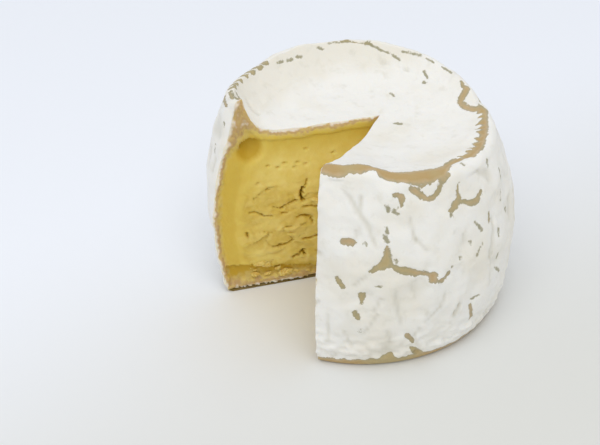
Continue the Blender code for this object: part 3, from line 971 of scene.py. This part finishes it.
@dataclass(frozen=True)
class RipePaste:
    """Triple-cream paste, cut with a knife: translucent yellow creamline round a chalky, crumbly core.

    The creamline is smooth, fatty and a little glossy. The core is paler, dry and cracked. Its
    splits, cracks, pits and the gap under the foot are painted brown as shade, because light only
    leaves them after many bounces in the fat; sunk places are painted deeper gold as shade.
    """

    cream_deep: str = "#DDC058"
    cream_light: str = "#E1C960"
    core_pale: str = "#F6E492"
    core_warm: str = "#ECD575"
    low_gold: str = "#C49E28"
    chip_pale: str = "#F8E592"
    crevice_shade_brown: str = "#7C6418"
    pocket_shade_gold: str = "#CBAB33"
    washed_tan: str = "#C6A876"
    washed_cream: str = "#D1B87C"
    straw_pale: str = "#DCC987"
    felt_white: str = "#EFE8DA"
    curd_mm: float = 3.0
    chip_mm: float = 3.4
    crumb_mm: float = 2.2
    grain_mm: float = 0.6
    chip_bend: float = 0.0022
    bump_height: float = 0.00025

    def material(self) -> bpy.types.Material:
        """Builds the paste's material from its fields and from noise at the curd's real scale.

        Returns:
            The material.
        """
        material, place, field = start_material(
            "cut_ripened_paste", "skin", "ripe", "crevice", "hollow", "proud", "loose")
        tree = material.node_tree
        curd, grain, crumb = (
            add_node(tree, "TexNoise", {"Scale": 1000.0 / size, "Detail": detail, "Roughness": tooth},
                     {"Vector": place})
            for size, detail, tooth in (
                (self.curd_mm, 4.0, 0.5), (self.grain_mm, 3.0, 0.65), (self.crumb_mm, 1.0, 0.5))
        )
        # Creamline and core, with random tone from the curd noise and painted light from the relief:
        # paler where the curd stands proud, darker where it is sunk
        level = add_node(tree, "Math", {**SCALED_SUM, 1: 0.45}, {0: field["proud"], 2: curd})
        uneven = add_node(tree, "MapRange", {"From Min": 0.25, "From Max": 0.75}, {"Value": level})
        cream, core = (
            add_node(tree, "Mix", {**MIX, 6: linear(dark), 7: linear(pale)}, {0: uneven}, 2)
            for dark, pale in ((self.cream_deep, self.cream_light), (self.core_warm, self.core_pale))
        )
        colour = add_node(tree, "Mix", MIX, {0: field["ripe"], 6: cream, 7: core}, 2)
        # Pale chips of curd where the core is loose
        bend = add_node(tree, "TexNoise", {"Scale": 1000.0 / self.curd_mm}, {"Vector": place}, "Color")
        bent = add_node(tree, "VectorMath", {**SCALED_SUM, 1: (self.chip_bend,) * 3}, {0: bend, 2: place})
        flat = add_node(tree, "Mapping", {"Scale": (1.0, 1.0, 1.9)}, {"Vector": bent})
        cell = add_node(tree, "TexVoronoi", {"Scale": 1000.0 / self.chip_mm}, {"Vector": flat}, "Color")
        chosen = add_node(tree, "SeparateColor", None, {0: cell})
        chip = add_node(tree, "MapRange", {"From Min": 0.68, "From Max": 0.72}, {"Value": chosen})
        chip = add_node(tree, "Math", PRODUCT, {0: chip, 1: field["loose"]})
        half = add_node(tree, "Math", {**PRODUCT, 1: 0.55}, {0: chip})
        # Golden where fat has gathered in loose core; sunk places and the pocket are painted deeper
        # gold as shade
        crumbly = add_node(tree, "Math", {**PRODUCT, 1: 0.34}, {0: field["loose"]})
        sunk = add_node(tree, "MapRange", {"From Min": -0.3, "From Max": -1.05, "To Max": 0.8},
                        {"Value": field["proud"]})
        hollow = add_node(tree, "Math", {**PRODUCT, 1: 0.7}, {0: field["hollow"]})
        layers = [(linear(self.chip_pale), half), (linear(self.low_gold), crumbly),
                  (linear(self.low_gold), sunk), (linear(self.pocket_shade_gold), hollow)]
        # The rind seen in section: straw, then tan mottled with cream, then felt
        edge = add_node(tree, "Math", {**SCALED_SUM, 1: 1.3, 2: -0.65}, {0: crumb})
        depth = add_node(tree, "Math", SUM, {0: field["skin"], 1: edge})
        fatty = add_node(tree, "MapRange", {"From Min": 0.46, "From Max": 0.66}, {"Value": crumb})
        washed = add_node(tree, "Mix", {**MIX, 6: linear(self.washed_tan), 7: linear(self.washed_cream)},
                          {0: fatty}, 2)
        for tint, low, high, most in ((linear(self.straw_pale), 1.0, 1.9, 0.6), (washed, 0.74, 1.14, 1.0),
                                      (linear(self.felt_white), 0.08, 0.56, 1.0)):
            limits = {"From Min": low, "From Max": high, "To Min": most, "To Max": 0.0}
            layers.append((tint, add_node(tree, "MapRange", {**SOFT, **limits}, {"Value": depth})))
        # Painted shade: splits, cracks, pits and the gap under the foot are painted brown,
        # with edges torn by the grain
        torn = add_node(tree, "Math", {**SCALED_SUM, 1: 0.4, 2: -0.2}, {0: grain})
        torn = add_node(tree, "Math", SUM, {0: field["crevice"], 1: torn})
        limits = {"From Min": -0.14, "From Max": 0.20, "To Max": 0.92}
        deep = add_node(tree, "MapRange", {**SOFT, **limits}, {"Value": torn})
        layers.append((linear(self.crevice_shade_brown), deep))
        for tint, share in layers:
            plain = isinstance(tint, tuple)
            colour = add_node(tree, "Mix", {**MIX, **({7: tint} if plain else {})},
                              {0: share, 6: colour, **({} if plain else {7: tint})}, 2)
        height = add_node(tree, "Math", {**SCALED_SUM, 1: 0.5}, {0: grain, 2: curd})
        height = add_node(tree, "Math", SUM, {0: height, 1: chip})
        bump = add_node(tree, "Bump", {"Strength": 0.4, "Distance": self.bump_height}, {"Height": height})
        finish_material(material, {
            "Roughness": 0.5, "IOR": 1.46, "Specular IOR Level": 0.2, "Subsurface Weight": 0.35,
            "Subsurface Radius": (1.0, 0.75, 0.3), "Subsurface Scale": 0.0022,
        }, base_color=colour, normal=bump)
        return material


@dataclass(frozen=True)
class CurdCrumb:
    """Loose curd: paler and drier than the paste that it was torn from, because air has got into it."""

    pale: str = "#E9D282"
    golden: str = "#D4B258"
    grain_mm: float = 0.7
    bump_height: float = 0.0002

    def material(self) -> bpy.types.Material:
        """Builds the crumbs' material.

        Returns:
            The material.
        """
        material, place, _ = start_material("torn_curd")
        tree = material.node_tree
        grain = add_node(tree, "TexNoise", {"Scale": 1000.0 / self.grain_mm, "Detail": 3.0},
                         {"Vector": place})
        uneven = add_node(tree, "MapRange", {"From Min": 0.38, "From Max": 0.62}, {"Value": grain})
        colour = add_node(tree, "Mix", {**MIX, 6: linear(self.golden), 7: linear(self.pale)},
                          {0: uneven}, 2)
        bump = add_node(tree, "Bump", {"Strength": 0.4, "Distance": self.bump_height}, {"Height": grain})
        finish_material(material, {
            "Roughness": 0.6, "IOR": 1.46, "Specular IOR Level": 0.2, "Subsurface Weight": 0.3,
            "Subsurface Radius": (1.0, 0.75, 0.3), "Subsurface Scale": 0.0012,
        }, base_color=colour, normal=bump)
        return material


@dataclass
class Cheese:
    """The whole cheese as one closed piece, rind and cut faces."""

    form: DrumForm
    rind: RindRelief
    cut: CutRelief
    steps_along: int = 104
    steps_up: int = 126
    steps_round: int = 300
    crowding: float = 1.25
    sharp_angle: float = 62.0

    def block(self) -> bmesh.types.BMesh:
        """The block: a cut face as a grid, its outline spun round, and the other cut face.

        Returns:
            The block, with cut faces in material slot 1.
        """
        block = bmesh.new()
        made = bmesh.ops.create_grid(block, x_segments=self.steps_along, y_segments=self.steps_up, size=0.5)
        stand_up = Matrix.Translation((0.5, 0.0, 0.5)) @ Matrix.Rotation(math.radians(90.0), 4, "X")
        bmesh.ops.transform(block, matrix=stand_up, verts=made["verts"])
        near_edge = 0.5 / self.steps_along
        outline = [e for e in block.edges if e.is_boundary and max(v.co.x for v in e.verts) > near_edge]
        first = list(block.faces)
        other = bmesh.ops.duplicate(block, geom=first)["geom"]
        cut_faces = {*first, *(g for g in other if isinstance(g, bmesh.types.BMFace))}
        turned = [g for g in other if isinstance(g, bmesh.types.BMVert)]
        bmesh.ops.transform(block, matrix=Matrix.Rotation(self.form.sweep, 4, "Z"), verts=turned)
        bmesh.ops.spin(block, geom=outline, axis=(0.0, 0.0, 1.0), angle=self.form.sweep,
                       steps=self.steps_round)
        for face in block.faces:
            face.material_index = 1 if face in cut_faces else 0
            face.smooth = True
        bmesh.ops.remove_doubles(block, verts=block.verts, dist=NEAR)
        # The base becomes one flat face
        under = [f for f in block.faces if all(abs(v.co.z) < 1e-7 for v in f.verts)]
        bmesh.ops.dissolve_faces(block, faces=under, use_verts=False)
        bmesh.ops.recalc_face_normals(block, faces=block.faces)
        return block

    def build(self) -> bpy.types.Object:
        """Shapes the block into the cheese and writes its fields.

        Returns:
            The cheese's object.
        """
        mesh = mesh_of("bloomy_drum", self.block())
        count = len(mesh.vertices)
        given = np.empty(count * 3)
        mesh.vertices.foreach_get("co", given)
        given = given.reshape(-1, 3)
        # Each point's share of the way out and up, and its turn round the notch's edge
        along = np.clip(np.hypot(given[:, 0], given[:, 1]), 0.0, 1.0)
        up = np.clip(given[:, 2], 0.0, 1.0)
        turned = np.arctan2(given[:, 1], given[:, 0]) % (2.0 * math.pi)
        turned = np.where((turned > self.form.sweep + 1e-3) | (along < NEAR), 0.0, turned)
        along = 1.0 - (1.0 - along) ** self.crowding
        direction = self.form.start + turned
        places = self.form.places(along, up, direction)

        # The rind swells outwards on the wall and upwards on the top
        on_wall = along > 1.0 - NEAR
        outside = on_wall | (up > 1.0 - NEAR)
        fields = {name: np.full(count, OUTSIDE) for name in ("tan", "olive", "crevice")}
        for name in ("crease", "valley", "aged_and_slope_shade", "skin", "ripe", "hollow", "proud", "loose"):
            fields[name] = np.zeros(count)
        read = self.rind.fields(places[outside])
        swell = self.rind.swell(places[outside], read)
        for name, values in read.items():
            fields[name][outside] = values
        outward = np.zeros((count, 3))
        outward[on_wall, :2] = places[on_wall, :2] / np.linalg.norm(places[on_wall, :2], axis=1)[:, None]
        outward[outside & ~on_wall, 2] = 1.0
        lifted = places.copy()
        lifted[outside] += outward[outside] * swell[:, None]

        # The cut faces move along their own normals
        edge = np.array(self.form.notch_edge)
        step = self.form.sweep / self.steps_round
        for face, on_face in ((1.0, turned < 0.5 * step), (0.0, turned > self.form.sweep - 0.5 * step)):
            on_face = on_face & (along > NEAR)
            t = np.linalg.norm(places[on_face, :2] - edge, axis=1)
            roof = self.form.places(along[on_face], np.ones(on_face.sum()), direction[on_face])[:, 2]
            rim = self.form.places(np.ones(on_face.sum()), up[on_face], direction[on_face])[:, :2]
            wall = np.linalg.norm(rim - edge, axis=1)
            relief, read = self.cut.read(t / MM, places[on_face, 2] / MM, roof / MM, wall / MM, face)
            side = -1.0 if face else 1.0
            heading = direction[on_face]
            into = side * np.column_stack([-np.sin(heading), np.cos(heading), np.zeros(on_face.sum())])
            lifted[on_face] += into * relief[:, None]
            for name, values in read.items():
                fields[name][on_face] = values
        lifted[:, :2] += self.form.axis
        lifted[given[:, 2] < 1e-7, 2] = 0.0
        mesh.vertices.foreach_set("co", lifted.ravel())
        for name, values in fields.items():
            mesh.attributes.new(name, "FLOAT", "POINT").data.foreach_set("value", values.astype(np.float32))
        mesh.update()
        mesh.set_sharp_from_angle(angle=math.radians(self.sharp_angle))
        return show(mesh, BloomyRind().material(), RipePaste().material())

    def dress(self) -> bpy.types.Object:
        """Builds the cheese and puts it in the place of its solid.

        Returns:
            The cheese's object.
        """
        cheese = self.build()
        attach(cheese, "root")
        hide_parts("triple_cream_cheese")
        return cheese


@dataclass
class Crumbs:
    """Crumbs of curd that the knife dragged onto the soft zone low on the left cut face."""

    form: DrumForm
    # Each as (t, z) on the face and its radius, in mm
    named: tuple = (
        (36.3, 8.6, 1.6), (34.6, 8.2, 1.4), (33.0, 8.9, 0.9), (28.8, 3.9, 1.5), (27.6, 3.1, 1.2),
        (31.0, 5.6, 0.8), (38.1, 4.6, 1.0), (34.3, 4.2, 0.9), (30.3, 2.9, 0.9), (25.2, 3.2, 0.8),
        (36.3, 2.2, 0.7), (21.5, 2.6, 0.7),
    )
    sprinkled: int = 12
    stretch: tuple[float, float, float] = (1.35, 0.6, 0.7)
    knobs: float = 0.8
    sunk: float = 0.0006
    seed: int = 5

    def scattered(self) -> list[tuple[float, float, float]]:
        """The named crumbs and smaller ones sprinkled from the seed.

        Returns:
            Each crumb as (t, z, radius) in mm.
        """
        draw = random.Random(self.seed)
        more = [(draw.uniform(8.0, 40.0), draw.uniform(0.8, 8.0), draw.uniform(0.25, 0.5))
                for _ in range(self.sprinkled)]
        return [*self.named, *more]

    def build(self) -> bpy.types.Object:
        """Builds the crumbs as one piece of small lumps pressed against the face.

        Returns:
            The crumbs' object.
        """
        draw = random.Random(self.seed + 1)
        direction = self.form.start + self.form.sweep
        heading = Vector((math.cos(direction), math.sin(direction), 0.0))
        outward = Vector((-heading.y, heading.x, 0.0))
        start = Vector((*self.form.notch_edge, 0.0)) + Vector((*self.form.axis, 0.0)) - self.sunk * outward
        lumps = bmesh.new()
        for t, z, radius in self.scattered():
            size = radius * MM
            finer = 1 if radius < 0.6 else 2
            made = bmesh.ops.create_icosphere(lumps, subdivisions=finer, radius=size)["verts"]
            key = Vector((draw.uniform(0.0, 90.0), 0.0, 0.0))
            for vert in made:
                vert.co *= 1.0 + self.knobs * noise.noise(vert.co / size * 1.1 + key)
                vert.co *= Vector(self.stretch)
            rise = Vector((0.0, 0.0, max(z * MM, size)))
            place = start + heading * (t * MM) + outward * (0.10 * size) + rise
            turn = Matrix.Rotation(draw.uniform(-0.5, 0.5), 4, outward) @ Matrix.Rotation(direction, 4, "Z")
            bmesh.ops.transform(lumps, matrix=Matrix.Translation(place) @ turn, verts=made)
        bmesh.ops.recalc_face_normals(lumps, faces=lumps.faces)
        return show(mesh_of("curd_crumbs", lumps), CurdCrumb().material())

    def dress(self) -> bpy.types.Object:
        """Builds the crumbs and fixes them to the cheese.

        Returns:
            The crumbs' object.
        """
        crumbs = self.build()
        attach(crumbs, "root")
        return crumbs


@dataclass
class Studio:
    """A pale seamless floor, a bright soft sky, one big soft lamp and the camera."""

    floor_size: float = 6.0
    floor_near: str = "#E0E0DB"
    floor_far: str = "#F5F8FE"
    light_falloff_turn: float = 32.0
    light_falloff_between: tuple[float, float] = (-0.09, 0.08)
    sky_colour: str = "#FAFCFF"
    sky_strength: float = 0.72
    lamp_power: float = 4.7
    lamp_size: float = 1.0
    lamp_place: tuple[float, float, float] = (0.38, -0.42, 1.0)
    azimuth: float = 47.3
    elevation: float = 34.83
    distance: float = 0.5227
    target: tuple[float, float, float] = (-0.00742, -0.01990, 0.0250)
    pixels_per_metre: float = 3400.0
    image_width: float = 600.0
    sensor_width: float = 36.0

    def floor(self) -> bpy.types.Object:
        """The floor, of matt paper, whose colour pales with distance behind the cheese as painted light
        falloff.

        Returns:
            The floor's object.
        """
        material, place, _ = start_material("matt_seamless_paper")
        tree = material.node_tree
        turn = -math.radians(self.azimuth + self.light_falloff_turn)
        turned = add_node(tree, "Mapping", {"Rotation": (0.0, 0.0, turn)}, {"Vector": place})
        away = add_node(tree, "SeparateXYZ", None, {0: turned}, "Y")
        # Painted light falloff: the floor darkens towards the camera and pales behind the cheese
        near, far = self.light_falloff_between
        pale = add_node(tree, "MapRange", {**SOFT, "From Min": near, "From Max": far}, {"Value": away})
        colour = add_node(tree, "Mix", {**MIX, 6: linear(self.floor_near), 7: linear(self.floor_far)},
                          {0: pale}, 2)
        finish_material(material, {"Roughness": 0.9, "Specular IOR Level": 0.1}, base_color=colour)
        sheet = bmesh.new()
        bmesh.ops.create_grid(sheet, x_segments=1, y_segments=1, size=0.5 * self.floor_size)
        floor = show(mesh_of("paper_floor", sheet), material)
        floor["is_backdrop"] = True
        return floor

    def light(self) -> None:
        """The sky and the lamp."""
        scene = bpy.context.scene
        scene.world = bpy.data.worlds.new("bright_room")
        scene.world.use_nodes = True
        sky = scene.world.node_tree.nodes["Background"]
        sky.inputs["Color"].default_value = linear(self.sky_colour)
        sky.inputs["Strength"].default_value = self.sky_strength
        lamp = bpy.data.lights.new("soft_lamp", "AREA")
        lamp.shape, lamp.size, lamp.energy = "DISK", self.lamp_size, self.lamp_power
        obj = bpy.data.objects.new("soft_lamp", lamp)
        obj.location = self.lamp_place
        obj.rotation_euler = Vector(self.lamp_place).to_track_quat("Z", "Y").to_euler()
        scene.collection.objects.link(obj)
        scene.view_settings.view_transform = "Standard"
        scene.view_settings.look = "None"

    def camera(self) -> bpy.types.Object:
        """The camera, whose lens gives the drum its size in a frame 600 pixels wide.

        Returns:
            The camera's object.
        """
        turn, rise = math.radians(self.azimuth), math.radians(self.elevation)
        back = Vector((math.sin(turn) * math.cos(rise), -math.cos(turn) * math.cos(rise), math.sin(rise)))
        data = bpy.data.cameras.new("camera")
        data.sensor_width = self.sensor_width
        data.lens = self.sensor_width * self.pixels_per_metre * self.distance / self.image_width
        camera = bpy.data.objects.new("camera", data)
        camera.location = Vector(self.target) + back * self.distance
        camera.rotation_euler = back.to_track_quat("Z", "Y").to_euler()
        bpy.context.scene.collection.objects.link(camera)
        bpy.context.scene.camera = camera
        return camera


def write_sizes() -> None:
    """Gathers the solid's box and the shown object's box."""
    boxes = {"cad": CAD_BOX, "visual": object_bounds()}
    boxes = {name: [list(corner) for corner in box] for name, box in boxes.items()}


def main() -> None:
    """Builds the camera, the pieces, the floor and the light, and reports each piece."""
    logging.basicConfig(level=logging.INFO, format="%(message)s")
    form = DrumForm()
    studio = Studio()
    studio.camera()
    cheese = Cheese(form, RindRelief(form), CutRelief()).dress()
    LOG.info("%s: %d points, %d faces", cheese.name, len(cheese.data.vertices), len(cheese.data.polygons))
    crumbs = Crumbs(form).dress()
    LOG.info("%s: %d faces", crumbs.name, len(crumbs.data.polygons))
    floor = studio.floor()
    LOG.info("%s: %.1f m across", floor.name, studio.floor_size)
    studio.light()
    write_sizes()


if __name__ == "__main__":
    main()
